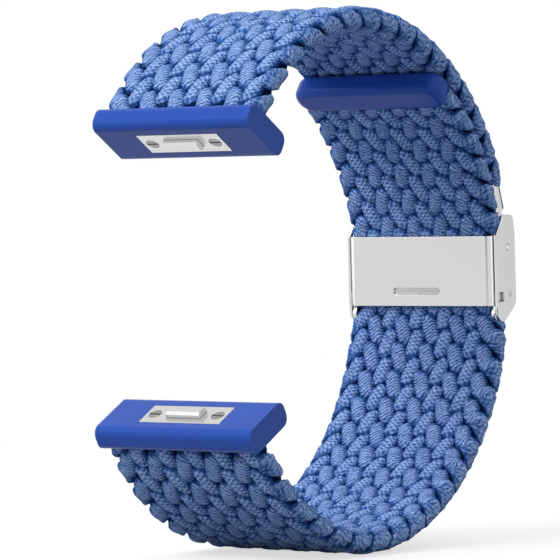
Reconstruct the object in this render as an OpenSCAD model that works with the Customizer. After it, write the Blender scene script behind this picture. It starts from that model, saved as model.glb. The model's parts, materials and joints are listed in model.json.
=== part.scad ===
// Adjustable braided watch strap: two stretch braids joined by a sliding steel lever clasp.
// Millimetres. X is across the strap, +Z points at the twelve o'clock side and -Y at the watch face.
// The origin is the middle of the lower lug connector's rail.

/* [Straps] */
// Width of both braided straps
strap_w = 20; // [18:0.5:24]
// Thickness of both braided straps
strap_t = 2.6; // [2.2:0.1:3.2]
// How much wider the braid swells where no fitting holds it
strap_swell = 1.6; // [0:0.1:2]
// Radius of the round edges of the straps
strap_edge_r = 1; // [0.4:0.1:1.05]
// Gap between the two straps where they lie on each other
layer_gap = 0.15; // [0.12:0.01:0.3]

/* [Loop round the wrist] */
// Radius of the long strap's middle line over the back of the loop
loop_r = 29.9; // [27:0.1:36]
// Radius of the long strap's middle line near the six o'clock lug
long_front_r = 28.4; // [24:0.1:34]
// How much wider the short strap's front arc is than the long strap's
short_front_extra = 0.2; // [-1:0.1:1]
// Angle at which the long strap turns to its front radius
long_break_angle = -78; // [-90:1:-70]
// Angle at which the long strap ends at its lug
long_end_angle = -146.4; // [-150:0.1:-135]
// Angle at which the short strap turns to its front radius
short_break_angle = 93; // [88:1:100]
// Angle at which the short strap ends at its lug
short_end_angle = 145.6; // [135:0.1:150]
// Angle of the clasp's middle on the loop
clasp_angle = 4.8; // [0:0.1:10]
// Angle of the end cap's middle on the loop
cap_angle = 57; // [50:1:64]

/* [End cap] */
// How much wider the end cap is than the straps
cap_extra_w = 1.6; // [1:0.1:4]
// Length of the end cap along the strap
cap_l = 4.5; // [4:0.1:6]
// Thickness of the end cap
cap_t = 3.1; // [2.9:0.1:3.4]
// Corner radius of the end cap seen from the wrist
cap_corner_r = 2.1; // [1.6:0.1:2.4]
// Radius of the end cap's rounded edges
cap_edge_r = 1; // [0.5:0.1:1.2]
// Length of the braid's pressed end inside the cap
cap_tongue_l = 3.2; // [2:0.1:3.4]
// Thickness of the braid's pressed ends inside the cap and the ferrule
tongue_t = 1.5; // [1:0.1:1.8]

/* [Clasp] */
// Thickness of the frame's plate against the wrist
plate_t = 0.55; // [0.5:0.05:0.7]
// Length of the frame's plate along the strap
plate_l = 8.9; // [7:0.1:9.2]
// Lean of the clasp in the loop, its top edge away from the wrist
clasp_lean = 2; // [0:0.5:2.5]
// Outer radius of the bends between the plate and the side walls
bend_r = 1; // [0.9:0.05:1.2]
// Thickness of the frame's side walls
wall_t = 0.6; // [0.5:0.05:0.8]
// Clearance between the strap's edge and each side wall
wall_gap = 0.15; // [0.1:0.05:0.3]
// Room in the channel over and under the strap
channel_gap = 0.65; // [0.6:0.01:0.8]
// Thickness of the cover lever's plate
cover_t = 0.75; // [0.6:0.05:0.9]
// Thickness of the cover lever's cheeks
cheek_t = 0.4; // [0.35:0.05:0.6]
// Clearance between a side wall and its cheek
cheek_gap = 0.06; // [0.05:0.01:0.1]
// Radius of the lever's pivot rivets
pivot_r = 0.4; // [0.3:0.05:0.5]
// Distance of the pivot above the clasp's middle
pivot_z = 3; // [2.8:0.1:3.2]
// Distance of the pivot outside the strap's middle line
pivot_y = 1; // [0.9:0.05:1.1]
// Radius of the link bar that carries the short strap
link_r = 0.45; // [0.35:0.05:0.5]
// Distance of the link bar above the clasp's middle
link_z = 6.2; // [6:0.1:6.6]
// Running clearance round every pin, on the radius
pin_gap = 0.03; // [0.02:0.01:0.06]
// Length of the pressed rib in the plate
rib_l = 7; // [4:0.1:12]
// Width of the pressed rib in the plate
rib_w = 0.85; // [0.5:0.05:1.2]
// Depth of the pressed rib in the plate
rib_depth = 0.3; // [0.1:0.05:0.4]
// Number of tooth rows on the grip bar
tooth_rows = 5; // [3:1:7]
// Length of the grip bar along the strap
grip_l = 2.4; // [1.6:0.1:2.8]

/* [Ferrule] */
// Length of the ferrule on the short strap
ferrule_l = 3.7; // [3:0.1:5]
// Radius of the ferrule's round outer edges
ferrule_edge_r = 1; // [0.4:0.1:1.05]
// Wall of the hinge eye round the link bar
eye_wall = 0.35; // [0.3:0.05:0.45]
// Thickness of the web between the hinge eye and the ferrule
web_t = 0.9; // [0.6:0.1:1.2]
// Length of the braid's pressed end inside the ferrule
ferrule_tongue_l = 3; // [2:0.1:3]

/* [Lug connectors] */
// Side wall of a lug connector beside the strap
lug_side = 0.95; // [0.8:0.05:1.4]
// Thickness of the lug's sliding rail
slug_t = 3; // [2.8:0.1:3.4]
// Length of the rail's profile
slug_l = 7.8; // [6.8:0.1:8.5]
// Edge radius of the rail's profile
slug_edge_r = 1.1; // [0.8:0.1:1.4]
// Tilt of the rail against the strap
slug_tilt = 4.5; // [2:0.5:8]
// Sideways shift of the rail towards the wrist
slug_shift = 1.6; // [0.8:0.1:1.8]
// Depth to which the full braid enters the rail
socket_depth = 0.5; // [0.4:0.05:0.6]
// Length of the two tongues of braid beyond that
lug_tongue_l = 1.5; // [1.4:0.05:1.7]
// Width of each tongue
lug_tongue_w = 2.2; // [1.8:0.1:2.4]
// Radius of the pins through the tongues
lug_pin_r = 0.35; // [0.3:0.05:0.4]
// Width of the latch button's head across the strap
latch_w = 4.8; // [4:0.1:5.4]
// Height of the latch button above the rail
latch_rise = 0.7; // [0.5:0.05:0.8]
// Travel of the latch button
latch_travel = 0.6; // [0.4:0.05:0.65]
// Thickness of the latch cover plate
latch_cover_t = 0.5; // [0.4:0.05:0.6]
// Length of the latch cover plate across the strap
latch_cover_w = 11.4; // [10.6:0.1:14]
// Radius of the latch screws' heads
screw_head_r = 0.8; // [0.6:0.05:0.9]
// Radius of the latch screws' shanks
screw_r = 0.45; // [0.3:0.05:0.5]
// Thickness of the latch leaf spring
spring_t = 0.14; // [0.1:0.02:0.2]

/* [Hidden] */

$fn = 64;
eps = 0.01;
seat_gap = 0.05; // clearance of a braid end in its socket
half_t = strap_t / 2;

// The short strap lies concentric outside the long one
short_r = loop_r + strap_t + layer_gap;
short_front_r = long_front_r + short_front_extra;

// Clasp: distances from the strap's middle line, +y away from the wrist
channel_y = half_t + channel_gap;
plate_y = channel_y + plate_t;
cover_y = channel_y + cover_t;
wall_in = strap_w / 2 + wall_gap;
wall_out = wall_in + wall_t;
cheek_in = wall_out + cheek_gap;
cheek_out = cheek_in + cheek_t;

// Height of the long strap's outer face in the clasp's frame, z along the clasp
function strap_top(z) = sqrt(pow(loop_r + half_t, 2) - z * z) - loop_r - z * tan(clasp_lean);

eye_r = link_r + pin_gap + eye_wall;
bar_gap = 0.12; // running gap between the hinge eye and the long strap
link_y = strap_top(link_z - eye_r) + bar_gap + eye_r;

// Side outline of the cheeks: a nose round the link bar, a slanted chin, a straight front edge
plate_z = 0.12;
front_y = 1.9;
nose_r = link_r + 0.45;
nose_left = [link_y - 1.3, link_z + 0.1];
nose_left_r = 0.85;
chin_r = 1.25;
chin_low = [-0.55, -5.1];
chin_high = [cover_y - chin_r, -3.6];
chin_dir = (chin_high - chin_low) / norm(chin_high - chin_low);
chin_out = [chin_dir[1], -chin_dir[0]];
chin_angle = atan2(chin_out[1], chin_out[0]);
rim = 0.08; // how far the frame's edge shows past the cheek
wall_back_y = channel_y - 0.15;
lever_top_gap = 1; // the cover plate ends this far below the pivot
lip_l = 0.5;
lip_in = chin_high + (chin_r - cover_t) * chin_out - lip_l * chin_dir;

window_y = -0.9;
window_z = -3.2;
window_w = 1.5;
window_h = 1.2;
stud_w = window_w - 0.45;
stud_h = window_h - 0.4;
stud_l = 0.45;
stud_out = 0.03;
stud_y = window_y + 0.2;
dimple_y = 1.3;
dimple_z = -2.95;
dimple_r = 0.35;
dimple_depth = 0.15;

cap_w = strap_w + cap_extra_w;
rib_x = -0.45;
rib_z = -2.45;
rivet_head_h = 0.12;
grip_z = 0;
grip_base_t = 0.2;
grip_clear = 0.05;
grip_w = strap_w - 1.2;

// Ferrule, placed by its angle on the short strap's circle
clasp_turn = clasp_angle - clasp_lean;
link_angle = clasp_angle + atan2(link_z, loop_r + link_y);
ferrule_start = link_angle + (eye_r + 0.45) / short_r * 180 / PI;
ferrule_angle = ferrule_start + ferrule_l / 2 / short_r * 180 / PI;
ferrule_end = ferrule_start + ferrule_l / short_r * 180 / PI;

// Lug connector, z along the strap towards the watch, y away from the wrist
lug_w = strap_w + 2 * seat_gap + 2 * lug_side;
slug_y = -slug_shift;
slug_z = slug_t / 2 - socket_depth;
lug_tongue_x = strap_w / 2 - 0.5 - lug_tongue_w / 2;
lug_pin_z = lug_tongue_l / 2;
lug_pin_bite = 0.5; // how far each pin enters the rail beside its tongue

// Latch inside the rail, z along the button's travel, seen in the rail's own frame
latch_top = slug_t / 2;
latch_cover_z = latch_top - latch_cover_t;
screw_seat_z = latch_cover_z + latch_cover_t * 0.45;
flange_t = 0.38;
flange_x = latch_w / 2 + 0.55;
flange_y = 1.35;
head_y = 0.8;
latch_gap = 0.05;
pocket_x = flange_x + 0.15;
pocket_y = flange_y + 0.15;
flange_top = latch_cover_z - 0.02;
pocket_floor = flange_top - flange_t - latch_travel - 0.35; // leaves room for the flat spring
latch_cover_y = 1.85;
screw_x = latch_cover_w / 2 - screw_head_r - 0.45;
screw_bottom = -slug_t / 2 + 1;
screw_slot_w = 0.25;
screw_slot_d = 0.15;

// Points on the straps in the loop's own frame, as [y, z]
function on_circle(r, a) = [r * cos(a), r * sin(a)];
function front_centre(r, front_r, a) = on_circle(r - front_r, a);
long_front_c = front_centre(loop_r, long_front_r, long_break_angle);
short_front_c = front_centre(short_r, short_front_r, short_break_angle);
long_end = long_front_c + on_circle(long_front_r, long_end_angle);
short_end = short_front_c + on_circle(short_front_r, short_end_angle);

// Middle of each rail in the loop's own frame
function rail_middle(end, a, side) =
    end + slug_y * [cos(a), sin(a)] + side * slug_z * [-sin(a), cos(a)];
upper_rail = rail_middle(short_end, short_end_angle, 1);
lower_rail = rail_middle(long_end, long_end_angle, -1);
origin_shift = -lower_rail;

// The loop's centre and the pins in the part's frame
function clasp_point(y, z) =
    origin_shift + on_circle(loop_r, clasp_angle)
    + [y * cos(clasp_turn) - z * sin(clasp_turn), y * sin(clasp_turn) + z * cos(clasp_turn)];
echo(loop_centre = origin_shift);
echo(pivot = clasp_point(pivot_y, pivot_z));
echo(link = clasp_point(link_y, link_z));
echo(upper_rail = upper_rail + origin_shift, lower_rail = lower_rail + origin_shift);
echo(upper_normal_angle = short_end_angle + slug_tilt, lower_normal_angle = long_end_angle - slug_tilt);
echo(ferrule_angles = [ferrule_start, ferrule_end], link_y = link_y);

// Moves what is drawn round the loop's centre to the part's origin
module in_loop() {
    translate([0, origin_shift[0], origin_shift[1]]) children();
}

// Turns a flat drawing with y across and z up into a solid w wide along X
module across(w) {
    rotate([90, 0, 90]) linear_extrude(height = w, center = true) children();
}

// A pin along X
module pin(r, x0, x1) {
    translate([x0, 0, 0]) rotate([0, 90, 0]) cylinder(r = r, h = x1 - x0);
}

// A point at angle a on a circle of radius r about the loop's centre, y outwards, z along the tangent
module at_angle(r, a) {
    rotate([a, 0, 0]) translate([0, r, 0]) children();
}

module in_clasp() {
    in_loop() at_angle(loop_r, clasp_angle) rotate([-clasp_lean, 0, 0]) children();
}

// Rounded rectangle from edge circles and two squares
module round_rect(w, h, r) {
    square([w - 2 * r, h], center = true);
    square([w, h - 2 * r], center = true);
    for (x = [-1, 1], y = [-1, 1])
        translate([x * (w / 2 - r), y * (h / 2 - r)]) circle(r = r);
}

tongue_edge_r = tongue_t / 2 - 0.15;
tongue_step = 0.04; // degrees between a pressed end and the full section

// A stretch of strap from angle a0 to a1 round the centre c
module band(c, r, a0, a1, w, t, edge_r) {
    translate([0, c[0], c[1]]) rotate([90, 0, 90]) rotate([0, 0, a0])
        rotate_extrude(angle = a1 - a0, $fn = 180) translate([r, 0]) round_rect(t, w, edge_r);
}

// Straps: woven one over one, so thick and thin places alternate like a chessboard's squares

strands = 11;
crossings = strands - 1;
weave_depth = 0.7; // how far the thin places lie below the thick ones
scallop = 0.45; // how far the edge draws in between its lobes
long_back_steps = 36;
long_front_steps = 16;
short_back_steps = 19;
short_front_steps = 12;

// One row of the weave: its arc, angle, width and thickness, and its number, or -1 where it is smooth
function weave_row(c, r, a, w, i = -1, t = strap_t) = [c, r, a, w, i, t];

function row_point(row, x, z) =
    [x, row[0][0] + (row[1] + z) * cos(row[2]), row[0][1] + (row[1] + z) * sin(row[2])];

// Half the thickness at crossing k of a row, and half the width at its edge on one side
function weave_z(row, k) = row[5] / 2 - (row[4] < 0 || (k + row[4]) % 2 == 0 ? 0 : weave_depth);
function weave_x(row, k) = row[3] / 2 - (row[4] < 0 || (k + row[4]) % 2 == 1 ? 0 : scallop);

// The ring of points round one row, over the top from left to right and back below
function row_ring(row) =
    let (pitch = row[3] / (strands + 0.3), edge_z = row[5] / 5)
    concat(
        [row_point(row, -weave_x(row, 0), edge_z)],
        [for (k = [0 : crossings - 1]) row_point(row, (k - (crossings - 1) / 2) * pitch, weave_z(row, k))],
        [row_point(row, weave_x(row, crossings - 1), edge_z)],
        [row_point(row, weave_x(row, crossings - 1), -edge_z)],
        [for (k = [crossings - 1 : -1 : 0])
            row_point(row, (k - (crossings - 1) / 2) * pitch, -weave_z(row, k))],
        [row_point(row, -weave_x(row, 0), -edge_z)]
    );

// Two triangles between two rows, split along the line that joins the thick places
function weave_faces(i, j, n, split) =
    let (a = i * n + j, b = i * n + (j + 1) % n, c = (i + 1) * n + (j + 1) % n, d = (i + 1) * n + j)
    split ? [[a, c, b], [a, d, c]] : [[a, d, b], [b, d, c]];

module weave(rows) {
    n = 2 * (crossings + 2);
    last = len(rows) - 1;
    polyhedron(
        points = [for (row = rows) each row_ring(row)],
        faces = concat(
            [[for (j = [0 : n - 1]) j]],
            [for (i = [0 : last - 1], j = [0 : n - 1])
                let (k = j <= crossings + 1 ? j - 1 : n - 2 - j)
                each weave_faces(i, j, n, (k + rows[i][4] + n) % 2 == 0)],
            [[for (j = [n - 1 : -1 : 0]) last * n + j]]
        )
    );
}

// Width of each strap at an angle round the loop: plain where fittings hold or slide, wider beyond
function ramp(x) = max(0, min(1, x));
function long_width(a) =
    strap_w + strap_swell * ramp((-54 - a) / 6) * ramp((a - long_end_angle - 1.3) / 2);
function short_width(a) =
    strap_w + strap_swell * ramp((a - short_start - 5) / 8) * ramp((short_end_angle - 1.3 - a) / 2);

long_tongue_start = cap_angle + (cap_l / 2 - 0.3 - cap_tongue_l) / loop_r * 180 / PI;
long_tongue_end = cap_angle + (cap_l / 2 - 0.3) / loop_r * 180 / PI;
long_back_step = (long_tongue_start - long_break_angle) / long_back_steps;
long_front_step = (long_break_angle - long_end_angle) / long_front_steps;

// A pressed end from angle a0 to a1, which stops a little short of the full section
function tongue_rows(r, a0, a1) =
    [for (a = [a0, (a0 + a1) / 2, a1]) weave_row([0, 0], r, a, strap_w - 1, -1, tongue_t)];

long_rows = concat(
    tongue_rows(loop_r, long_tongue_end, long_tongue_start + tongue_step),
    [weave_row([0, 0], loop_r, long_tongue_start, strap_w)],
    [weave_row([0, 0], loop_r, long_tongue_start - 2 * long_back_step, strap_w)],
    [for (i = [2 : long_back_steps - 1])
        let (a = long_tongue_start - (i + 0.5) * long_back_step)
        weave_row([0, 0], loop_r, a, long_width(a), i)],
    [for (i = [0 : long_front_steps - 1])
        let (a = long_break_angle - (i + 0.5) * long_front_step)
        weave_row(long_front_c, long_front_r, a, long_width(a), i + long_back_steps)],
    [weave_row(long_front_c, long_front_r, long_end_angle + 1.3, strap_w)],
    [weave_row(long_front_c, long_front_r, long_end_angle, strap_w)]
);

// The tongues that enter the lug, seen in the strap end's own frame
module lug_tongues(gap, from) {
    for (x = [-1, 1]) translate([x * lug_tongue_x, 0, (lug_tongue_l + gap + from) / 2])
        cube([lug_tongue_w + 2 * gap, tongue_t + 2 * gap, lug_tongue_l + gap - from], center = true);
}

// The pins across them, with their ends in the rail
module lug_pins(r, bite) {
    reach = lug_tongue_w / 2 + bite;
    for (x = [-1, 1]) translate([x * lug_tongue_x, 0, lug_pin_z]) pin(r, -reach, reach);
}

module long_braid() {
    color("cornflowerblue") difference() {
        union() {
            in_loop() weave(long_rows);
            in_lower_lug() lug_tongues(0, -0.6);
        }
        in_lower_lug() lug_pins(lug_pin_r + pin_gap, lug_w);
    }
}

// The braid's full section starts just clear of the ferrule's flat end
short_start = ferrule_end + 0.25;
short_tongue_start = ferrule_end - ferrule_tongue_l / short_r * 180 / PI;
short_back_step = (short_break_angle - short_start) / short_back_steps;
short_front_step = (short_end_angle - short_break_angle) / short_front_steps;

// From the lug to the ferrule, so that the rows run the same way as the long strap's
short_rows = concat(
    [weave_row(short_front_c, short_front_r, short_end_angle, strap_w)],
    [weave_row(short_front_c, short_front_r, short_end_angle - 1.3, strap_w)],
    [for (i = [short_front_steps - 1 : -1 : 0])
        let (a = short_break_angle + (i + 0.5) * short_front_step)
        weave_row(short_front_c, short_front_r, a, short_width(a), i + short_back_steps)],
    [for (i = [short_back_steps - 1 : -1 : 1])
        let (a = short_start + (i + 0.5) * short_back_step)
        weave_row([0, 0], short_r, a, short_width(a), i)],
    [weave_row([0, 0], short_r, short_start + short_back_step, strap_w)],
    [weave_row([0, 0], short_r, short_start, strap_w)],
    tongue_rows(short_r, short_start - tongue_step, short_tongue_start)
);

module short_braid() {
    color("cornflowerblue") difference() {
        union() {
            in_loop() weave(short_rows);
            in_upper_lug() lug_tongues(0, -0.6);
        }
        in_upper_lug() lug_pins(lug_pin_r + pin_gap, lug_w);
    }
}

// One end of the cap: a flat disc with a round rim
module cap_end() {
    rotate([-90, 0, 0]) translate([0, 0, half_t - cap_t]) {
        translate([0, 0, cap_edge_r]) rotate_extrude($fn = 40)
            translate([cap_corner_r - cap_edge_r, 0]) circle(r = cap_edge_r, $fn = 24);
        translate([0, 0, cap_t - cap_edge_r]) rotate_extrude($fn = 40)
            translate([cap_corner_r - cap_edge_r, 0]) circle(r = cap_edge_r, $fn = 24);
    }
}

module end_cap() {
    color("mediumblue") in_loop() difference() {
        at_angle(loop_r, cap_angle) hull()
            for (x = [-1, 1], z = [-1, 1])
                translate([x * (cap_w / 2 - cap_corner_r), 0, z * (cap_l / 2 - cap_corner_r)]) cap_end();
        band([0, 0], loop_r, long_tongue_start - 5, long_tongue_end + 0.1,
            strap_w - 1 + 2 * seat_gap, tongue_t + 2 * seat_gap, tongue_edge_r);
        band([0, 0], loop_r, long_tongue_start - 8, long_tongue_start + 0.1,
            strap_w + 2 * seat_gap, strap_t + 2 * seat_gap, strap_edge_r);
    }
}

// Ferrule with its hinge eye

module ferrule() {
    eye = on_circle(loop_r, clasp_angle)
        + [link_y * cos(clasp_turn) - link_z * sin(clasp_turn),
           link_y * sin(clasp_turn) + link_z * cos(clasp_turn)];
    foot = on_circle(short_r, ferrule_start) + on_circle(0.4, ferrule_start + 90);
    web = [foot[0] - eye[0], foot[1] - eye[1]];
    side = web_t / 2 / norm(web) * [-web[1], web[0]];
    color("silver") in_loop() difference() {
        union() {
            at_angle(short_r, ferrule_angle) linear_extrude(height = ferrule_l, center = true)
                round_rect(strap_w, strap_t, ferrule_edge_r);
            translate([0, eye[0], eye[1]]) pin(eye_r, -strap_w / 2 + 0.2, strap_w / 2 - 0.2);
            across(strap_w - 0.4) polygon([eye + side, foot + side, foot - side, eye - side]);
        }
        translate([0, eye[0], eye[1]]) pin(link_r + pin_gap, -strap_w, strap_w);
        band([0, 0], short_r, short_tongue_start - 0.1, ferrule_end + 5,
            strap_w - 1 + 2 * seat_gap, tongue_t + 2 * seat_gap, tongue_edge_r);
    }
}

// Clasp

function arc(c, r, a0, a1, n = 10) =
    [for (i = [0 : n]) c + r * [cos(a0 + (a1 - a0) * i / n), sin(a0 + (a1 - a0) * i / n)]];

// The nose round the link bar and the flank behind it
function nose_points(back, grow) = concat(
    arc(nose_left, nose_left_r + grow, 175, 92), arc([link_y, link_z], nose_r, 88, 0),
    [[link_y + nose_r, link_z - 0.6], [back, link_z - 1.3]]
);

// Side outline of a cheek, y away from the wrist
cheek_points = concat(
    [[-front_y, plate_l / 2 + plate_z]], nose_points(cover_y, 0),
    arc(chin_high, chin_r, 0, chin_angle), arc(chin_low, chin_r, chin_angle, -170),
    [[-front_y, chin_low[1] + 0.9]]
);

// What the lever leaves open between its cheeks
inside_points = concat(
    [[-20, 20], [20, 20], [20, pivot_z - lever_top_gap], [channel_y, pivot_z - lever_top_gap]],
    arc(chin_high, chin_r - cover_t, 0, chin_angle),
    [lip_in, lip_in + 3 * cover_t * chin_out, [20, -20], [-20, -20]]
);

// Side outline of the frame's wall, kept inside the lever
wall_points = concat(
    [[-plate_y + bend_r, plate_l / 2 + plate_z]], nose_points(wall_back_y, rim),
    [[wall_back_y, chin_high[1] + 0.2]], arc(chin_low, chin_r + rim, chin_angle - 4, -172),
    [[-plate_y + bend_r, -plate_l / 2 + plate_z]]
);

module clasp_frame() {
    color("silver") in_clasp() difference() {
        union() {
            // Plate with a round bend at each side
            translate([0, -plate_y + plate_t / 2, plate_z])
                cube([2 * (wall_out - bend_r), plate_t, plate_l], center = true);
            for (x = [-1, 1])
            translate([x * (wall_out - bend_r), -plate_y + bend_r, plate_z]) intersection() {
                difference() {
                    cylinder(r = bend_r, h = plate_l, center = true);
                    cylinder(r = bend_r - plate_t, h = plate_l + 1, center = true);
                }
                translate([x * bend_r / 2, -bend_r / 2, 0])
                    cube([bend_r, bend_r, plate_l + 1], center = true);
            }
            // Side walls with nose and chin
            for (x = [-1, 1])
            translate([x * (wall_in + wall_out) / 2, 0, 0]) across(wall_t) polygon(wall_points);
        }
        // Holes for the link bar and the pivot rivets
        translate([0, link_y, link_z]) pin(link_r, -wall_out - 1, wall_out + 1);
        translate([0, pivot_y, pivot_z]) pin(pivot_r, -wall_out - 1, wall_out + 1);
        // Seats of the spring studs
        for (x = [-1, 1]) translate([x * (wall_out + 1 - stud_l + stud_out), stud_y, window_z])
            cube([2, stud_w, stud_h], center = true);
        // Pressed rib
        translate([rib_x, -plate_y, rib_z]) {
            cube([rib_l - rib_w, 2 * rib_depth, rib_w], center = true);
            for (x = [-1, 1]) translate([x * (rib_l - rib_w) / 2, 0, 0])
                rotate([90, 0, 0]) cylinder(r = rib_w / 2, h = 2 * rib_depth, center = true);
        }
    }
}

module cover_lever() {
    color("gainsboro") in_clasp() difference() {
        across(2 * cheek_out) polygon(cheek_points);
        across(2 * cheek_in) polygon(inside_points);
        // Bores round the pivot rivets
        translate([0, pivot_y, pivot_z]) pin(pivot_r + pin_gap, -cheek_out - 1, cheek_out + 1);
        for (x = [-1, 1]) translate([x * (cheek_in + cheek_out) / 2, 0, 0]) {
            // Window over the stud
            translate([0, window_y, window_z]) cube([cheek_t + 1, window_w, window_h], center = true);
            // Dimple
            translate([x * (cheek_t / 2), dimple_y, dimple_z])
                rotate([0, 90, 0]) cylinder(r = dimple_r, h = 2 * dimple_depth, center = true);
        }
    }
}

module grip_bar() {
    tip = strap_top(grip_l / 2) + grip_clear;
    pitch = grip_l / tooth_rows;
    color("silver") in_clasp() translate([0, 0, grip_z]) across(grip_w) polygon(concat(
        [[channel_y, grip_l / 2], [channel_y, -grip_l / 2]],
        [for (i = [0 : tooth_rows - 1], edge = [0, 0.5])
            [edge == 0 ? channel_y - grip_base_t : max(tip, strap_top(0) + grip_clear),
             -grip_l / 2 + (i + edge) * pitch]],
        [[channel_y - grip_base_t, grip_l / 2]]
    ));
}

module pivot_rivets() {
    color("silver") in_clasp() for (x = [-1, 1]) translate([0, pivot_y, pivot_z]) {
        pin(pivot_r, x > 0 ? wall_in + 0.02 : -cheek_out, x > 0 ? cheek_out : -wall_in - 0.02);
        // Low head
        translate([x * cheek_out, 0, 0]) rotate([0, x * 90, 0])
            cylinder(r1 = pivot_r, r2 = pivot_r * 0.6, h = rivet_head_h);
    }
}

// Spring studs in the side walls that hold the lever shut, shown pressed in
module detent_studs() {
    color("gainsboro") in_clasp() for (x = [-1, 1])
        translate([x * (wall_out + stud_out - stud_l / 2), stud_y, window_z])
            cube([stud_l, stud_w, stud_h], center = true);
}

module link_bar() {
    color("silver") in_clasp() translate([0, link_y, link_z]) pin(link_r, -wall_out, wall_out);
}

// Lug connectors: the upper one as drawn, the lower one mirrored along its strap

module in_upper_lug() {
    in_loop() translate([0, short_end[0], short_end[1]]) rotate([short_end_angle, 0, 0]) children();
}

module in_lower_lug() {
    in_loop() translate([0, long_end[0], long_end[1]]) rotate([long_end_angle, 0, 0])
        mirror([0, 0, 1]) children();
}

// The rail's own frame: y along its profile, z towards the watch
module in_rail() {
    translate([0, slug_y, slug_z]) rotate([slug_tilt, 0, 0]) children();
}

module lug_body() {
    mouth = 0.7; // how far the socket's cut reaches out through the tilted face
    color("royalblue") difference() {
        in_rail() across(lug_w) round_rect(slug_l, slug_t, slug_edge_r);
        // Socket for the braid's end
        translate([0, 0, (seat_gap - socket_depth - mouth) / 2])
            cube([strap_w + 2 * seat_gap, strap_t + 2 * seat_gap, socket_depth + mouth + seat_gap],
                center = true);
        lug_tongues(seat_gap, -0.1);
        lug_pins(lug_pin_r, lug_pin_bite);
        in_rail() {
            // Pocket for the latch button and its spring
            translate([0, 0, (pocket_floor + slug_t) / 2])
                cube([2 * pocket_x, 2 * pocket_y, slug_t - pocket_floor], center = true);
            // Recess for the cover plate
            translate([0, 0, latch_cover_z + slug_t / 2])
                cube([latch_cover_w + 2 * latch_gap, 2 * (latch_cover_y + latch_gap), slug_t], center = true);
            // Screw holes
            for (x = [-1, 1]) translate([x * screw_x, 0, screw_bottom]) cylinder(r = screw_r, h = slug_t);
        }
    }
}

module lug_pin() {
    color("silver") lug_pins(lug_pin_r, lug_pin_bite - 0.02);
}

module latch_button() {
    chamfer = 0.3;
    top = latch_top + latch_rise;
    color("silver") in_rail() {
        translate([0, 0, flange_top - flange_t / 2])
            cube([2 * flange_x, 2 * flange_y, flange_t], center = true);
        across(latch_w) polygon([
            [-head_y, flange_top - eps], [head_y, flange_top - eps], [head_y, top - chamfer],
            [head_y - chamfer, top], [-head_y + chamfer, top], [-head_y, top - chamfer],
        ]);
    }
}

// Arched leaf spring between the pocket's floor and the button
module latch_spring() {
    span = pocket_x - 0.25;
    rise = flange_top - flange_t - pocket_floor - 0.04;
    color("silver") in_rail() translate([0, 0, pocket_floor + 0.02]) rotate([90, 0, 0])
        linear_extrude(height = 1.6, center = true) polygon([
            [-span, 0], [-span + 0.5, 0], [-0.7, rise - spring_t], [0.7, rise - spring_t],
            [span - 0.5, 0], [span, 0], [span, spring_t], [span - 0.4, spring_t],
            [0.8, rise], [-0.8, rise], [-span + 0.4, spring_t], [-span, spring_t],
        ]);
}

module latch_cover() {
    color("silver") in_rail() difference() {
        translate([0, 0, latch_cover_z + latch_cover_t / 2])
            cube([latch_cover_w, 2 * latch_cover_y, latch_cover_t], center = true);
        translate([0, 0, latch_top])
            cube([latch_w + 2 * latch_gap, 2 * (head_y + latch_gap), slug_t], center = true);
        for (x = [-1, 1]) translate([x * screw_x, 0, 0]) {
            cylinder(r = screw_r + pin_gap, h = slug_t, center = true);
            translate([0, 0, screw_seat_z]) cylinder(r = screw_head_r + pin_gap, h = slug_t);
        }
    }
}

module latch_screws() {
    color("dimgray") in_rail() for (x = [-1, 1]) translate([x * screw_x, 0, 0]) difference() {
        union() {
            translate([0, 0, screw_bottom]) cylinder(r = screw_r, h = screw_seat_z - screw_bottom + eps);
            translate([0, 0, screw_seat_z]) cylinder(r = screw_head_r, h = latch_top - screw_seat_z);
        }
        translate([0, 0, latch_top])
        cube([2 * screw_head_r + 1, screw_slot_w, 2 * screw_slot_d], center = true);
    }
}

module upper_lug_body() { in_upper_lug() lug_body(); }
module upper_lug_pin() { in_upper_lug() lug_pin(); }
module upper_latch_button() { in_upper_lug() latch_button(); }
module upper_latch_spring() { in_upper_lug() latch_spring(); }
module upper_latch_cover() { in_upper_lug() latch_cover(); }
module upper_latch_screws() { in_upper_lug() latch_screws(); }
module lower_lug_body() { in_lower_lug() lug_body(); }
module lower_lug_pin() { in_lower_lug() lug_pin(); }
module lower_latch_button() { in_lower_lug() latch_button(); }
module lower_latch_spring() { in_lower_lug() latch_spring(); }
module lower_latch_cover() { in_lower_lug() latch_cover(); }
module lower_latch_screws() { in_lower_lug() latch_screws(); }

long_braid();
short_braid();
end_cap();
ferrule();
clasp_frame();
cover_lever();
grip_bar();
pivot_rivets();
detent_studs();
link_bar();
upper_lug_body();
upper_lug_pin();
upper_latch_button();
upper_latch_spring();
upper_latch_cover();
upper_latch_screws();
lower_lug_body();
lower_lug_pin();
lower_latch_button();
lower_latch_spring();
lower_latch_cover();
lower_latch_screws();
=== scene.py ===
"""Looks of a braided watch strap with a sliding lever clasp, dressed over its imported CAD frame.

The two braids are woven strand by strand along the straps' route. The clasp frame, the lever and the ferrule
are copies of their CAD nodes with broken edges, and all other nodes keep their CAD form. All lengths are
metres, X runs across the strap and +Z towards the upper lug.
"""

import json
import logging
import math
from dataclasses import dataclass
from enum import Enum

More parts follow.
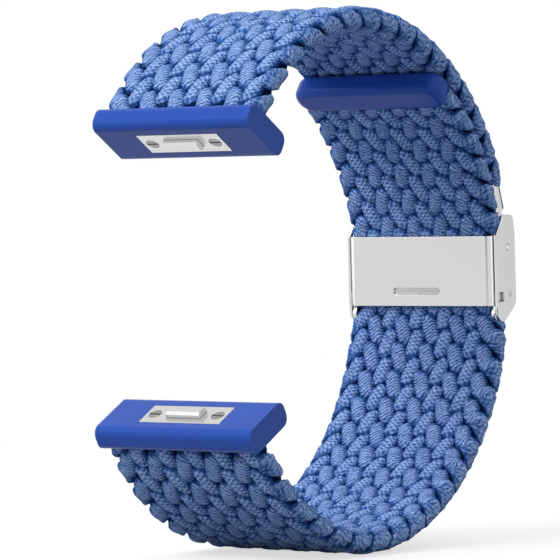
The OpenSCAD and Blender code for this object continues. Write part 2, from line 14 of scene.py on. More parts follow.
import bpy
import numpy as np
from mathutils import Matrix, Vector

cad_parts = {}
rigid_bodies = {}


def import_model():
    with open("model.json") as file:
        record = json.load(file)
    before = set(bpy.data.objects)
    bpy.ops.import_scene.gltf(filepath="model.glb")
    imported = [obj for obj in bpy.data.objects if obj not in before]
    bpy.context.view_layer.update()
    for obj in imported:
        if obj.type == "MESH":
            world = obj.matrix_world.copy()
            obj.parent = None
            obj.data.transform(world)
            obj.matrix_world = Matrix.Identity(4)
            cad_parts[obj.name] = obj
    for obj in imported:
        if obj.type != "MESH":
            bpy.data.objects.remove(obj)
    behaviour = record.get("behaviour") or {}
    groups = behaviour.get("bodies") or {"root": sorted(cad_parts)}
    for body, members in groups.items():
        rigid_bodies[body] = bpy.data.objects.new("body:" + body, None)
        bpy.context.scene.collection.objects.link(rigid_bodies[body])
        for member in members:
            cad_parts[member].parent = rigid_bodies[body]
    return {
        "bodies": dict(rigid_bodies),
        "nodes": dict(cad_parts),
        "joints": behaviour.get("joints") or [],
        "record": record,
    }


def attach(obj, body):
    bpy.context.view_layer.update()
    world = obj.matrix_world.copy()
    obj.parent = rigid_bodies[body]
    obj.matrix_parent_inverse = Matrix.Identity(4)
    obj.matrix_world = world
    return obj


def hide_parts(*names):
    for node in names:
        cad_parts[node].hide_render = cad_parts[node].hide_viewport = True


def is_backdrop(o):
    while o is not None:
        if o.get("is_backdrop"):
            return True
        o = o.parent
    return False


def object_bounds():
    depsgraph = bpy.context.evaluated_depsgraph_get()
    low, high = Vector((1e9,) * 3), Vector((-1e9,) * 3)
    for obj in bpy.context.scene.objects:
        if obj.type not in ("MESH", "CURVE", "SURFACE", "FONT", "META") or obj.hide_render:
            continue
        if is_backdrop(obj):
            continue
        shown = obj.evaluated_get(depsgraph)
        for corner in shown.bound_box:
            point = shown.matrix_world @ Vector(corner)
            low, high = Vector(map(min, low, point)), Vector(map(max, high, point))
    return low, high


LOG = logging.getLogger("watch_strap")
MM = 0.001


class Body(Enum):
    """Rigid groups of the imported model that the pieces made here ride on."""

    LONG_STRAP = "long_strap"
    SHORT_STRAP = "short_strap"
    CLASP = "clasp"
    LEVER = "lever"


class Slot(Enum):
    """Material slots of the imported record."""

    BRAID = "braid"
    PLASTIC = "blue_plastic"
    STEEL = "steel"
    SPRING = "spring_steel"
    SCREW = "screw_steel"


def deselect_all() -> None:
    """Leave nothing selected and no object in edit mode."""
    if bpy.context.object and bpy.context.object.mode != "OBJECT":
        bpy.ops.object.mode_set(mode="OBJECT")
    bpy.ops.object.select_all(action="DESELECT")


def make_active(piece: bpy.types.Object) -> None:
    """Select one object alone and make it the active one.

    Args:
        piece: The object to select.
    """
    deselect_all()
    piece.select_set(True)
    bpy.context.view_layer.objects.active = piece


def apply_modifiers(piece: bpy.types.Object) -> None:
    """Apply every modifier of an object in order.

    Args:
        piece: The object whose modifiers are applied.
    """
    make_active(piece)
    for modifier in list(piece.modifiers):
        bpy.ops.object.modifier_apply(modifier=modifier.name)


def smooth_by_angle(piece: bpy.types.Object, degrees: float) -> None:
    """Shade an object smooth, keeping edges sharper than an angle.

    Args:
        piece: The object to shade.
        degrees: The angle past which an edge stays sharp.
    """
    make_active(piece)
    bpy.ops.object.shade_smooth_by_angle(angle=math.radians(degrees))


def dress(piece: bpy.types.Object, material: bpy.types.Material) -> None:
    """Give an object one material.

    Args:
        piece: The object to dress.
        material: Its new and only material.
    """
    piece.data.materials.clear()
    piece.data.materials.append(material)


class NodeTree:
    """A short way to add and link shader nodes."""

    def __init__(self, tree: bpy.types.NodeTree) -> None:
        """Keep the tree that nodes are added to."""
        self.tree = tree

    def add(self, kind: str, **values: object) -> bpy.types.Node:
        """Add a node and set its properties and inputs.

        Args:
            kind: The node's type name, such as ShaderNodeMath.
            **values: Properties by name, or inputs by name with in_ before it.

        Returns:
            The new node.
        """
        node = self.tree.nodes.new(kind)
        for name, value in values.items():
            if name.startswith("in_"):
                node.inputs[int(name[3:]) if name[3:].isdigit() else name[3:]].default_value = value
            else:
                setattr(node, name, value)
        return node

    def link(self, source: bpy.types.NodeSocket, target: bpy.types.NodeSocket) -> None:
        """Link an output socket to an input socket."""
        self.tree.links.new(source, target)

    def maths(self, operation: str, first: object, second: object = None) -> bpy.types.NodeSocket:
        """Add a Math node on sockets or plain numbers.

        Args:
            operation: The node's operation, such as MULTIPLY.
            first: A socket or a number.
            second: A socket, a number or nothing.

        Returns:
            The node's output socket.
        """
        node = self.add("ShaderNodeMath", operation=operation)
        for index, value in enumerate((first, second)):
            if isinstance(value, bpy.types.NodeSocket):
                self.link(value, node.inputs[index])
            elif value is not None:
                node.inputs[index].default_value = value
        return node.outputs[0]

    def seen_directly(self) -> bpy.types.NodeSocket:
        """Tell rays that show the background, seen straight, in metal or through glass, from light.

        Returns:
            A socket that is 1 for a camera, glossy or transmission ray and 0 for all others.
        """
        path = self.add("ShaderNodeLightPath")
        mirrored = self.maths("MAXIMUM", path.outputs["Is Glossy Ray"], path.outputs["Is Transmission Ray"])
        return self.maths("MAXIMUM", path.outputs["Is Camera Ray"], mirrored)

    def blend_colours(self, factor: bpy.types.NodeSocket, low: object, high: object) -> bpy.types.NodeSocket:
        """Blend two colours by a factor.

        Args:
            factor: The socket that runs from 0 to 1.
            low: The colour at 0, as a socket or as red, green and blue.
            high: The colour at 1, as a socket or as red, green and blue.

        Returns:
            The blended colour's socket.
        """
        node = self.add("ShaderNodeMix", data_type="RGBA")
        self.link(factor, node.inputs["Factor"])
        for name, colour in (("A", low), ("B", high)):
            if isinstance(colour, bpy.types.NodeSocket):
                self.link(colour, node.inputs[name])
            else:
                node.inputs[name].default_value = (*colour, 1.0)
        return node.outputs["Result"]

    def mix_shaders(
        self, factor: bpy.types.NodeSocket, first: bpy.types.NodeSocket, second: bpy.types.NodeSocket
    ) -> bpy.types.NodeSocket:
        """Mix two shaders by a factor.

        Args:
            factor: The socket that runs from 0 to 1.
            first: The shader at 0.
            second: The shader at 1.

        Returns:
            The mixed shader's socket.
        """
        node = self.add("ShaderNodeMixShader")
        for index, source in enumerate((factor, first, second)):
            self.link(source, node.inputs[index])
        return node.outputs[0]

    def white(self, kind: str, strength: float = 1.0) -> bpy.types.NodeSocket:
        """Add a plain white light shader.

        Args:
            kind: ShaderNodeEmission or ShaderNodeBackground.
            strength: Its strength, where 1 is white.

        Returns:
            The shader's socket.
        """
        return self.add(kind, in_Color=(1.0, 1.0, 1.0, 1.0), in_Strength=strength).outputs[0]

    def share(
        self, value: bpy.types.NodeSocket, low: float, high: float, kind: str = "LINEAR"
    ) -> bpy.types.NodeSocket:
        """Turn a value into a share that runs from 0 at one level to 1 at another.

        Args:
            value: The socket to read.
            low: The value at which the share is 0.
            high: The value at which the share is 1.
            kind: LINEAR, or SMOOTHSTEP for soft ends.

        Returns:
            The share's socket.
        """
        node = self.add("ShaderNodeMapRange", interpolation_type=kind, in_1=low, in_2=high)
        self.link(value, node.inputs["Value"])
        return node.outputs["Result"]

    def bump(
        self, height: bpy.types.NodeSocket, strength: float, depth: float, shader: bpy.types.Node
    ) -> None:
        """Raise a shader's surface by a height.

        Args:
            height: The socket with the height.
            strength: How strongly it shows.
            depth: The height's full depth in metres.
            shader: The shader whose normal it bends.
        """
        node = self.add("ShaderNodeBump", in_Strength=strength, in_Distance=depth)
        self.link(height, node.inputs["Height"])
        self.link(node.outputs["Normal"], shader.inputs["Normal"])

    def grain(
        self, group: bpy.types.NodeTree, broad: float, fine: float, stretch: float = 1.0
    ) -> bpy.types.Node:
        """Place the shared surface grain on the object's own coordinates.

        Args:
            group: The shared surface grain group.
            broad: Scale of the broad variation.
            fine: Scale of the fine grain.
            stretch: Scale along X, under 1 to draw the grain out across the strap.

        Returns:
            The group node, with the outputs Broad and Fine.
        """
        coords = self.add("ShaderNodeTexCoord").outputs["Object"]
        if stretch != 1.0:
            mapping = self.add("ShaderNodeMapping")
            mapping.inputs["Scale"].default_value = (stretch, 1.0, 1.0)
            self.link(coords, mapping.inputs["Vector"])
            coords = mapping.outputs["Vector"]
        node = self.add("ShaderNodeGroup", node_tree=group)
        node.inputs["Broad Scale"].default_value = broad
        node.inputs["Fine Scale"].default_value = fine
        self.link(coords, node.inputs["Vector"])
        return node


def new_material(name: str) -> tuple[bpy.types.Material, NodeTree, bpy.types.Node]:
    """Start a material with its Principled shader.

    Args:
        name: The material's name.

    Returns:
        The material, its node helper and the Principled node.
    """
    material = bpy.data.materials.new(name)
    material.use_nodes = True
    return material, NodeTree(material.node_tree), material.node_tree.nodes["Principled BSDF"]


def surface_grain_group() -> bpy.types.NodeTree:
    """Build the shared group that puts fine unevenness on a surface.

    Returns:
        The group, with a mask of broad variation and one of fine grain as outputs.
    """
    group = bpy.data.node_groups.new("surface_grain", "ShaderNodeTree")
    group.interface.new_socket("Vector", in_out="INPUT", socket_type="NodeSocketVector")
    group.interface.new_socket("Broad Scale", in_out="INPUT", socket_type="NodeSocketFloat")
    group.interface.new_socket("Fine Scale", in_out="INPUT", socket_type="NodeSocketFloat")
    group.interface.new_socket("Broad", in_out="OUTPUT", socket_type="NodeSocketFloat")
    group.interface.new_socket("Fine", in_out="OUTPUT", socket_type="NodeSocketFloat")
    nodes = NodeTree(group)
    inputs = nodes.add("NodeGroupInput")
    outputs = nodes.add("NodeGroupOutput")
    for scale, name, detail in (("Broad Scale", "Broad", 2.0), ("Fine Scale", "Fine", 4.0)):
        noise = nodes.add("ShaderNodeTexNoise", in_Detail=detail, in_Roughness=0.55)
        nodes.link(inputs.outputs["Vector"], noise.inputs["Vector"])
        nodes.link(inputs.outputs[scale], noise.inputs["Scale"])
        nodes.link(noise.outputs["Fac"], outputs.inputs[name])
    return group


@dataclass(frozen=True)
class YarnFinish:
    """Stretch yarn, a fine knitted cord whose stitches show as ribs or as beads, with painted shade in its
    creases and painted highlight and shade on its stitches.
    """

    # light is partly the yarn's pale tone and partly painted highlight on the stitches' crowns; dark is
    # mostly painted shade, in the creases and the stitches' grooves
    light: tuple[float, float, float] = (0.42, 0.60, 1.0)
    middle: tuple[float, float, float] = (0.036, 0.126, 0.41)
    dark: tuple[float, float, float] = (0.003, 0.038, 0.18)
    sheen: tuple[float, float, float] = (0.45, 0.62, 1.0)
    broad_scale: float = 900.0
    fine_scale: float = 4200.0
    rib_pitch: float = 0.42 * MM
    rib_columns: int = 3
    rib_slant: float = 1.5
    rib_share: float = 0.72
    bead_pitch: float = 0.55 * MM
    bead_columns: int = 6
    wander: float = 0.7 * MM
    stitch_share: float = 0.5
    fine_share: float = 0.95
    broad_share: float = 0.3
    fuzz_middle: float = 0.2
    crease_end: float = 0.42
    crease_light: float = 0.05
    middle_at: float = 0.5
    light_from: float = 0.42
    light_full: float = 0.95
    stitch_depth: float = 0.16 * MM

    def material(self, group: bpy.types.NodeTree, name: str, length: float) -> bpy.types.Material:
        """Build the yarn's material.

        Args:
            group: The shared surface grain group.
            name: The material's name.
            length: The strand's length in metres.

        Returns:
            The material, which reads the strand's own UV map, its ribbed attribute and the attribute that
            masks the painted crease shade.
        """
        material, nodes, shader = new_material(name)
        place = nodes.add("ShaderNodeUVMap", uv_map="UVMap")
        split = nodes.add("ShaderNodeSeparateXYZ")
        nodes.link(place.outputs["UV"], split.inputs[0])
        uneven = nodes.grain(group, self.broad_scale, self.fine_scale)
        fine, broad = uneven.outputs["Fine"], uneven.outputs["Broad"]
        straight = nodes.maths("MULTIPLY", split.outputs["Y"], length / MM)
        run = nodes.maths("ADD", straight, nodes.maths("MULTIPLY", broad, self.wander / MM))
        stitches = self.stitches(nodes, split.outputs["X"], run)
        fuzz = nodes.maths("ADD", nodes.maths("MULTIPLY", fine, self.fine_share),
                           nodes.maths("MULTIPLY", broad, self.broad_share))
        # The stitches' height colours the yarn as well as bumping it: painted highlight on their crowns and
        # painted shade in their grooves, beside random tone from the fuzz
        relief = nodes.maths("ADD", nodes.maths("MULTIPLY", stitches, self.stitch_share),
                             nodes.maths("SUBTRACT", fuzz, self.fuzz_middle))
        # Painted shade: where neighbours cover the strand, in the creases, the shade is cut to a
        # crease_light share, so that hardly any light colour is left
        unshaded = nodes.add("ShaderNodeAttribute", attribute_name="unshaded").outputs["Fac"]
        unshaded_share = nodes.share(unshaded, self.crease_end, 1.0, "SMOOTHSTEP")
        kept = nodes.maths("MULTIPLY", unshaded_share, 1 - self.crease_light)
        shade = nodes.maths("MULTIPLY", relief, nodes.maths("ADD", kept, self.crease_light))
        low_share = nodes.maths("MULTIPLY", shade, 1 / self.middle_at)
        low = nodes.blend_colours(low_share, self.dark, self.middle)
        high = nodes.blend_colours(nodes.share(shade, self.light_from, self.light_full), low, self.light)
        nodes.link(high, shader.inputs["Base Color"])
        nodes.bump(stitches, 1.0, self.stitch_depth, shader)
        shader.inputs["Roughness"].default_value = 0.75
        shader.inputs["Specular IOR Level"].default_value = 0.06
        shader.inputs["Sheen Weight"].default_value = 0.03
        shader.inputs["Sheen Roughness"].default_value = 0.4
        shader.inputs["Sheen Tint"].default_value = (*self.sheen, 1.0)
        return material

    def stitches(
        self, nodes: NodeTree, around: bpy.types.NodeSocket, run: bpy.types.NodeSocket
    ) -> bpy.types.NodeSocket:
        """Work out the cord's stitches, ribs in chevrons or rows of beads.

        Args:
            nodes: The material's node helper.
            around: Place round the strand, from 0 to 1.
            run: Place along the strand in millimetres.

        Returns:
            The stitches' height from 0 to 1.
        """
        chevron = nodes.maths("PINGPONG", nodes.maths("MULTIPLY", around, float(self.rib_columns)), 0.5)
        phase = nodes.maths("ADD", nodes.maths("MULTIPLY", run, MM / self.rib_pitch),
                            nodes.maths("MULTIPLY", chevron, self.rib_slant))
        ribs = nodes.maths("COSINE", nodes.maths("MULTIPLY", phase, math.tau))
        columns = nodes.maths("COSINE", nodes.maths("MULTIPLY", around, math.tau * self.bead_columns))
        rows = nodes.maths("COSINE", nodes.maths("MULTIPLY", run, math.tau * MM / self.bead_pitch))
        beads = nodes.maths("MULTIPLY", columns, rows)
        ribbed = nodes.add("ShaderNodeAttribute", attribute_name="ribbed").outputs["Fac"]
        mixed = nodes.add("ShaderNodeMix", data_type="FLOAT")
        nodes.link(nodes.maths("MULTIPLY", ribbed, self.rib_share), mixed.inputs["Factor"])
        nodes.link(beads, mixed.inputs["A"])
        nodes.link(ribs, mixed.inputs["B"])
        return nodes.maths("ADD", nodes.maths("MULTIPLY", mixed.outputs["Result"], 0.5), 0.5)


@dataclass(frozen=True)
class PlasticFinish:
    """Smooth moulded plastic with a soft gloss."""

    light: tuple[float, float, float] = (0.024, 0.09, 0.47)
    dark: tuple[float, float, float] = (0.017, 0.068, 0.37)
    broad_scale: float = 220.0
    fine_scale: float = 5200.0
    least_rough: float = 0.18
    rough_spread: float = 0.08

    def material(self, group: bpy.types.NodeTree) -> bpy.types.Material:
        """Build the plastic's material.

        Args:
            group: The shared surface grain group.

        Returns:
            The material.
        """
        material, nodes, shader = new_material("moulded_blue_plastic")
        uneven = nodes.grain(group, self.broad_scale, self.fine_scale)
        broad = uneven.outputs["Broad"]
        nodes.link(nodes.blend_colours(broad, self.dark, self.light), shader.inputs["Base Color"])
        rough = nodes.maths("ADD", nodes.maths("MULTIPLY", broad, self.rough_spread), self.least_rough)
        nodes.link(rough, shader.inputs["Roughness"])
        nodes.bump(uneven.outputs["Fine"], 0.12, 0.02 * MM, shader)
        shader.inputs["Specular IOR Level"].default_value = 0.1
        shader.inputs["Coat Weight"].default_value = 0.04
        shader.inputs["Coat Roughness"].default_value = 0.08
        return material


@dataclass(frozen=True)
class SteelFinish:
    """Satin steel with fine brushing across the strap and painted shade in its inner corners."""

    name: str = "satin_steel"
    light: tuple[float, float, float] = (0.67, 0.67, 0.67)
    dark: tuple[float, float, float] = (0.64, 0.64, 0.64)
    roughness: float = 0.18
    brushing: float = 0.05
    brush_stretch: float = 0.25
    broad_scale: float = 700.0
    fine_scale: float = 9000.0
    # Painted shade in inner corners: its grey, and the pointiness levels where it is full and where it ends
    hollow_shade: tuple[float, float, float] = (0.32, 0.32, 0.32)
    hollow_at: float = 0.42
    open_at: float = 0.495

    def material(self, group: bpy.types.NodeTree) -> bpy.types.Material:
        """Build the steel's material.

        Args:
            group: The shared surface grain group.

        Returns:
            The material.
        """
        material, nodes, shader = new_material(self.name)
        uneven = nodes.grain(group, self.broad_scale, self.fine_scale, self.brush_stretch)
        fine = uneven.outputs["Fine"]
        colour = nodes.blend_colours(fine, self.dark, self.light)
        # Painted shade: inner corners, found from the mesh's pointiness, are darker than the open faces
        shape = nodes.add("ShaderNodeNewGeometry").outputs["Pointiness"]
        unshaded_share = nodes.share(shape, self.hollow_at, self.open_at)
        nodes.link(nodes.blend_colours(unshaded_share, self.hollow_shade, colour), shader.inputs["Base Color"])
        shader.inputs["Metallic"].default_value = 1.0
        spread = nodes.maths("MULTIPLY", fine, self.brushing)
        rough = nodes.maths("ADD", spread, self.roughness - self.brushing / 2)
        nodes.link(rough, shader.inputs["Roughness"])
        nodes.bump(fine, 0.03, 0.01 * MM, shader)
        return material


@dataclass(frozen=True)
class Arc:
    """One stretch of a strap's middle line, an arc in the YZ plane."""

    centre: np.ndarray
    radius: float
    start: float
    end: float

    @property
    def length(self) -> float:
        """Length of the arc in metres."""
        return self.radius * math.radians(abs(self.end - self.start))

    def join(self, radius: float, end: float) -> "Arc":
        """Make the next arc, tangent at this one's end.

        Args:
            radius: The next arc's radius.
            end: The angle where it ends, in degrees.

        Returns:
            The next arc.
        """
        heading = math.radians(self.end)
        out = np.array([math.cos(heading), math.sin(heading)])
        return Arc(self.centre + (self.radius - radius) * out, radius, self.end, end)


@dataclass(frozen=True)
class Route:
    """A strap's middle line as joined arcs, from its free end to its lug."""

    arcs: tuple[Arc, ...]

    @property
    def length(self) -> float:
        """Length of the whole route in metres."""
        return sum(arc.length for arc in self.arcs)

    def angle_at(self, along: np.ndarray) -> np.ndarray:
        """Find the angle round the loop at places along the route.

        Args:
            along: Distances along the route from its start.

        Returns:
            The arcs' angles in degrees.
        """
        ends = np.cumsum([0.0] + [arc.length for arc in self.arcs])
        angles = [self.arcs[0].start] + [arc.end for arc in self.arcs]
        return np.interp(along, ends, angles)

    def place(self, across: np.ndarray, along: np.ndarray, out: np.ndarray) -> np.ndarray:
        """Turn strap coordinates into places round the loop.

        Args:
            across: Distance from the strap's middle, towards +X.
            along: Distance along the route from its start.
            out: Height above the middle line, away from the wrist.

        Returns:
            An array of XYZ places.
        """
        points = np.zeros((len(along), 3))
        points[:, 0] = across
        begun = 0.0
        for index, arc in enumerate(self.arcs):
            last = index == len(self.arcs) - 1
            inside = (along >= begun) & ((along < begun + arc.length) | last)
            if index == 0:
                inside |= along < 0
            share = (along[inside] - begun) / arc.length
            angle = np.radians(arc.start + share * (arc.end - arc.start))
            reach = arc.radius + out[inside]
            points[inside, 1] = arc.centre[0] + reach * np.cos(angle)
            points[inside, 2] = arc.centre[1] + reach * np.sin(angle)
            begun += arc.length
        return points


@dataclass
class Braid:
    """A flat braid woven one over one, strand by strand, along a route."""

    name: str
    route: Route
    body: Body
    node: str
    widths: tuple[tuple[float, float], ...]
    steps_by_arc: tuple[int, ...]
    thickness: float = 3.0 * MM
    strands: int = 11
    strand_width: float = 2.45 * MM
    strand_thickness: float = 1.5 * MM
    waist: float = 0.2
    float_hold: float = 0.9
    float_reach: float = 3.8
    right_lean: float = -0.7
    left_lean: float = 0.0
    edge_bulge: float = 0.1
    edge_swell: float = 0.3
    ribbed_from: float = 5.0
    edge_power: int = 6
    tuck: float = 0.8 * MM
    tucked_share: float = 0.75
    edge_depth: float = 0.8
    rings_a_step: int = 10
    samples_a_step: int = 60
    sides: int = 12

    @property
    def steps(self) -> int:
        """How many times each strand crosses another along the whole braid."""
        return sum(self.steps_by_arc)

    def along_at(self, ticks: np.ndarray) -> np.ndarray:
        """Turn braid steps into distances along the route.

        Args:
            ticks: Places along the braid, counted in its steps.

        Returns:
            The same places in metres from the route's start.
        """
        counts = np.cumsum([0, *self.steps_by_arc])
        lengths = np.cumsum([0.0] + [arc.length for arc in self.route.arcs])
        return np.interp(ticks, counts, lengths)

    def build(self, material: bpy.types.Material) -> bpy.types.Object:
        """Weave the braid and hang it on its body.

        Args:
            material: The yarn's material.

        Returns:
            The finished braid.
        """
        pieces = [self.strand(index) for index in range(self.strands)]
        deselect_all()
        for piece in pieces:
            piece.select_set(True)
        bpy.context.view_layer.objects.active = pieces[0]
        bpy.ops.object.join()
        braid = pieces[0]
        braid.name = braid.data.name = self.name
        make_active(braid)
        bpy.ops.object.mode_set(mode="EDIT")
        bpy.ops.mesh.select_all(action="SELECT")
        bpy.ops.mesh.remove_doubles(threshold=0.002 * MM)
        bpy.ops.mesh.normals_make_consistent(inside=False)
        bpy.ops.object.mode_set(mode="OBJECT")
        bpy.ops.object.shade_smooth()
        dress(braid, material)
        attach(braid, self.body.value)
        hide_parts(self.node)
        return braid

    def middle_line(self, offset: int, time: np.ndarray) -> tuple[np.ndarray, ...]:
        """Work out one strand's middle line in braid steps.

        A strand crosses the braid in steps, over and under its neighbours by turns. At an edge it comes
        up from below and goes back over the top, which takes one step more. Where it lies on a face it
        runs far along the strap, and where it dives it hardly does, so its floats are long and slim.

        Args:
            offset: Which strand of the braid it is.
            time: Steps along the strap, one for each ring.

        Returns:
            Places across and along in steps, height from -1 to 1, the strand's turn about its own line in
            radians, 1 where it runs to the right or 0 to the left, and how far it is in a dive, to 1.
        """
        last = self.strands - 1
        cycle = 2 * self.strands
        moment = (time + 2 * offset) % cycle
        # Half a step after a leg begins the strand is on top of its first crossing
        leg = (moment - 0.5) % self.strands
        rightward = ((moment - 0.5) % cycle) < self.strands
        turning = leg > last - 1
        moving = np.minimum(leg, last - 1)
        edge = np.where(turning, leg - (last - 1), 0.0)
        ease = edge / 2
        side = np.where(turning, np.where(rightward, 1 - ease, ease), rightward.astype(float))
        lean = side * self.right_lean + (1 - side) * self.left_lean
        sway = np.sin(math.tau * moving) / math.tau
        wave = np.cos(np.pi * moving)
        held = np.sign(wave) * np.abs(wave) ** self.float_hold
        height = np.where(turning, -np.cos(np.pi * edge / 2), held)
        peak = 0.5 + self.edge_bulge
        third = ((1 - lean) * 2 / np.pi - peak) / 4
        swing = np.sin(np.pi * edge / 2) * (peak + third) + np.sin(3 * np.pi * edge / 2) * third
        travel = np.where(turning, last - 0.5 + swing, 0.5 + moving - lean * sway)
        across = np.where(rightward, travel, last - travel) - last / 2
        power = self.edge_power
        round_edge = np.where(edge < 1, edge * (1 - edge) ** power, -(2 - edge) * (edge - 1) ** power)
        along = time + self.float_reach * np.where(turning, round_edge, sway)
        turned = np.pi * ease * ease * (3 - 2 * ease)
        twist = np.where(rightward, turned, np.pi - turned)
        dive = np.where(turning, -self.edge_swell * np.sin(np.pi * edge / 2), 1 - held * held)
        return across, along, height, twist, side, dive

    def strand(self, index: int) -> bpy.types.Object:
        """Make one strand, a tube laid along its way through the braid.

        Args:
            index: Which strand of the braid it is.

        Returns:
            The strand as an object.
        """
        rings = self.steps * self.rings_a_step + 1
        deselect_all()
        bpy.ops.mesh.primitive_grid_add(
            x_subdivisions=self.sides, y_subdivisions=rings - 1, size=1.0, calc_uvs=True
        )
        strand = bpy.context.object
        corners = np.empty(len(strand.data.vertices) * 3)
        strand.data.vertices.foreach_get("co", corners)
        corners = corners.reshape(-1, 3)
        column = np.rint((corners[:, 0] + 0.5) * self.sides).astype(int)
        row = np.rint((corners[:, 1] + 0.5) * (rings - 1)).astype(int)
        time = self.ring_times(index, rings)
        line, dive, twist, side_share, along, thickness = self.laid_line(index, time)
        heading = np.gradient(line, axis=0)
        heading /= np.linalg.norm(heading, axis=1)[:, None]
        # The flat of a float lies square to its run along the face
        run = side_share * (1 - self.right_lean) - (1 - side_share) * (1 - self.left_lean)
        flat_way = np.stack([np.full(rings, 1 + self.float_reach), -run, np.zeros(rings)], axis=1)
        side = flat_way - np.sum(flat_way * heading, axis=1)[:, None] * heading
        side /= np.linalg.norm(side, axis=1)[:, None]
        up = np.cross(side, heading)
        cos, sin = np.cos(twist)[:, None], np.sin(twist)[:, None]
        flat = side * cos + up * sin
        thick = (up * cos - side * sin) * (thickness / self.thickness)[:, None]
        turn = math.tau * column / self.sides
        half_width = self.strand_width / 2 * (1 - self.waist * dive)
        points = (
            line[row]
            + flat[row] * (np.cos(turn) * half_width[row])[:, None]
            + thick[row] * (np.sin(turn) * self.strand_thickness / 2)[:, None]
        )
        placed = self.route.place(points[:, 0], points[:, 1], points[:, 2])
        strand.data.vertices.foreach_set("co", placed.ravel())
        # The stitches show as ribs on the strands that lean less in the picture
        swapped = self.route.angle_at(along) > self.ribbed_from
        ribbed = np.where(swapped, 1 - side_share, side_share)
        self.paint(strand, "ribbed", ribbed[row])
        # Mask of the painted crease shade: 1 where the strand lies open at the braid's face or edge, falling
        # towards 0 in the creases under its neighbours
        half_braid = self.width_at(along)[row] / 2
        from_edge = 1 - (half_braid - np.abs(points[:, 0])) / (self.strand_thickness * self.edge_depth)
        from_face = np.abs(points[:, 2]) / (thickness[row] / 2)
        self.paint(strand, "unshaded", np.clip(np.maximum(from_edge, from_face), 0.0, 1.0))
        strand.data.update()
        return strand

    def laid_line(self, index: int, time: np.ndarray) -> tuple[np.ndarray, ...]:
        """Lay one strand's middle line along the flat strap, in metres.

        Args:
            index: Which strand of the braid it is.
            time: Steps along the strap, one for each ring.

        Returns:
            Points across, along and out, then the strand's dive, twist, direction, distance along the
            route, and the braid's thickness there.
        """
        across, ticks, height, twist, side_share, dive = self.middle_line(index, time)
        along = self.along_at(ticks)
        pitch = (self.width_at(along) - self.strand_thickness) / (self.strands - 1 + 2 * self.edge_bulge)
        thickness = self.thickness * self.tuck_share(along)
        out = height * (thickness - self.strand_thickness) / 2
        line = np.stack([across * pitch, along, out], axis=1)
        return line, dive, twist, side_share, along, thickness

    def ring_times(self, index: int, rings: int) -> np.ndarray:
        """Find the times at which rings lie evenly along a strand's length.

        Args:
            index: Which strand of the braid it is.
            rings: How many rings the strand has.

        Returns:
            A time in steps for each ring.
        """
        time, length = self.measured(index)
        return np.interp(np.linspace(0.0, length[-1], rings), length, time)

    def measured(self, index: int) -> tuple[np.ndarray, np.ndarray]:
        """Measure one strand along its own line.

        Args:
            index: Which strand of the braid it is.

        Returns:
            Closely spaced times in steps, and the strand's length up to each of them.
        """
        time = np.linspace(0.0, self.steps, self.steps * self.samples_a_step + 1)
        line = self.laid_line(index, time)[0]
        gaps = np.linalg.norm(np.diff(line, axis=0), axis=1)
        return time, np.concatenate([[0.0], np.cumsum(gaps)])

    @property
    def strand_length(self) -> float:
        """Length of one strand from end to end of the braid."""
        return float(self.measured(0)[1][-1])

    @staticmethod
    def paint(strand: bpy.types.Object, name: str, values: np.ndarray) -> None:
        """Store one number for each point of a strand."""
        strand.data.attributes.new(name, "FLOAT", "POINT").data.foreach_set("value", values)

    def width_at(self, along: np.ndarray) -> np.ndarray:
        """Braid width at places along the route, drawn in where the clasp holds it.

        Args:
            along: Distances along the route.

        Returns:
            The width at each place.
        """
        angles, widths = np.array(self.widths).T
        order = np.argsort(angles)
        return np.interp(self.route.angle_at(along), angles[order], widths[order])

    def tuck_share(self, along: np.ndarray) -> np.ndarray:
        """How far the braid is pressed thin where its ends go into their fittings.

        Args:
            along: Distances along the route.

        Returns:
            A share of the full thickness, least at the ends.
        """
        end = np.minimum(along, self.route.length - along)
        share = np.clip(end / self.tuck, 0.0, 1.0)
        return self.tucked_share + (1 - self.tucked_share) * share * share * (3 - 2 * share)


@dataclass
class SoftenedNode:
    """A copy of a steel CAD node with its edges broken, as on the finished metal."""

    node: str
    body: Body
    bevel: float
    segments: int = 3
    merge: float = 0.001 * MM
    flat_within: float = 1.0
    bevel_past: float = 30.0
    sharp_past: float = 32.0

    def build(self, frame: dict, material: bpy.types.Material) -> bpy.types.Object:
        """Copy, merge, bevel and dress the node.

        Args:
            material: The piece's finish.

        Returns:
            The finished piece.
        """
        source = frame["nodes"][self.node]
        piece = source.copy()
        piece.data = source.data.copy()
        piece.name = piece.data.name = self.node + "_finished"
        piece.parent = None
        bpy.context.scene.collection.objects.link(piece)
        make_active(piece)
        bpy.ops.object.mode_set(mode="EDIT")
        bpy.ops.mesh.select_all(action="SELECT")
        bpy.ops.mesh.remove_doubles(threshold=self.merge)
        bpy.ops.mesh.dissolve_limited(angle_limit=math.radians(self.flat_within))
        bpy.ops.object.mode_set(mode="OBJECT")
        bevel = piece.modifiers.new("edges", "BEVEL")
        bevel.width = self.bevel
        bevel.segments = self.segments
        bevel.limit_method = "ANGLE"
        bevel.angle_limit = math.radians(self.bevel_past)
        bevel.use_clamp_overlap = False
        apply_modifiers(piece)
        smooth_by_angle(piece, self.sharp_past)
        flat = piece.modifiers.new("flat_faces", "WEIGHTED_NORMAL")
        flat.keep_sharp = True
        apply_modifiers(piece)
        dress(piece, material)
        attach(piece, self.body.value)
        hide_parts(self.node)
        return piece


